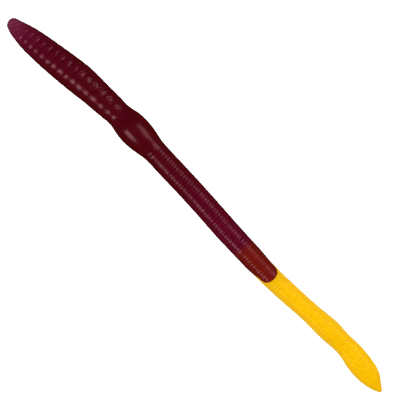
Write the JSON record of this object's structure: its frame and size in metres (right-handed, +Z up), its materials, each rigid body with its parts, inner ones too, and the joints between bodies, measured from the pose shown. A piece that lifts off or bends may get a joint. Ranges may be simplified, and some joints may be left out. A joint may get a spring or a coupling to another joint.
{
  "type": "soft plastic worm",
  "caption": "Straight-tail soft plastic fishing worm: ringed maroon head, smooth egg sac and slender body, bonded to a yellow stem and pointed paddle tail. It flexes along its whole length.",
  "frame": {"origin": "on the surface that the worm lies on, under the middle of its bounding box", "axes": "+X from the nose to the tail tip, +Z up from the surface, +Y to the left when looking from the nose's end to the tail"},
  "size_m": [0.178, 0.0126, 0.0107],
  "materials": {
    "body_plastic": "gloss",
    "tail_plastic": "gloss"
  },
  "bodies": {
    "nose": {"nose": "body_plastic"},
    "head_front": {"head_front": "body_plastic"},
    "head_rear": {"head_rear": "body_plastic"},
    "egg_sac": {"egg_sac": "body_plastic"},
    "body_front": {"body_front": "body_plastic"},
    "body_middle": {"body_middle": "body_plastic"},
    "body_rear": {"body_rear": "body_plastic"},
    "lap": {"body_end": "body_plastic", "tail_root": "tail_plastic"},
    "stem_front": {"stem_front": "tail_plastic"},
    "stem_rear": {"stem_rear": "tail_plastic"},
    "tail_paddle": {"tail_paddle": "tail_plastic"}
  },
  "joints": [
    {"name": "body_front_wag", "type": "hinge", "parent": "body_middle", "child": "body_front", "pos_m": [-0.008, 0.00043, 0.004], "axis": [0, 0, -1], "range_deg": [-30, 30], "stiffness_Nm_per_rad": 0.00067},
    {"name": "egg_sac_nod", "type": "hinge", "parent": "body_front", "child": "egg_sac", "pos_m": [-0.019, 0.00075, 0.00406], "axis": [0, 1, 0], "range_deg": [-30, 30], "stiffness_Nm_per_rad": 0.0008},
    {"name": "head_rear_wag", "type": "hinge", "parent": "egg_sac", "child": "head_rear", "pos_m": [-0.043, 0.0009, 0.00475], "axis": [0, 0, -1], "range_deg": [-25, 25], "stiffness_Nm_per_rad": 0.0012},
    {"name": "head_front_nod", "type": "hinge", "parent": "head_rear", "child": "head_front", "pos_m": [-0.057, 0.00014, 0.0052], "axis": [0, 1, 0], "range_deg": [-25, 25], "stiffness_Nm_per_rad": 0.0016},
    {"name": "nose_wag", "type": "hinge", "parent": "head_front", "child": "nose", "pos_m": [-0.0725, -0.00158, 0.00481], "axis": [0, 0, -1], "range_deg": [-25, 25], "stiffness_Nm_per_rad": 0.0014},
    {"name": "body_rear_nod", "type": "hinge", "parent": "body_middle", "child": "body_rear", "pos_m": [0.003, -0.00006, 0.00399], "axis": [0, -1, 0], "range_deg": [-30, 30], "stiffness_Nm_per_rad": 0.00067},
    {"name": "lap_wag", "type": "hinge", "parent": "body_rear", "child": "lap", "pos_m": [0.0135, -0.00066, 0.00398], "axis": [0, 0, 1], "range_deg": [-30, 30], "stiffness_Nm_per_rad": 0.00065},
    {"name": "stem_front_nod", "type": "hinge", "parent": "lap", "child": "stem_front", "pos_m": [0.041, -0.00103, 0.00358], "axis": [0, -1, 0], "range_deg": [-35, 35], "stiffness_Nm_per_rad": 0.00035},
    {"name": "stem_rear_wag", "type": "hinge", "parent": "stem_front", "child": "stem_rear", "pos_m": [0.0545, -0.00023, 0.00343], "axis": [0, 0, 1], "range_deg": [-35, 35], "stiffness_Nm_per_rad": 0.00035},
    {"name": "paddle_nod", "type": "hinge", "parent": "stem_rear", "child": "tail_paddle", "pos_m": [0.0677, 0.00019, 0.00278], "axis": [0, -1, 0], "range_deg": [-40, 40], "stiffness_Nm_per_rad": 0.0002}
  ]
}
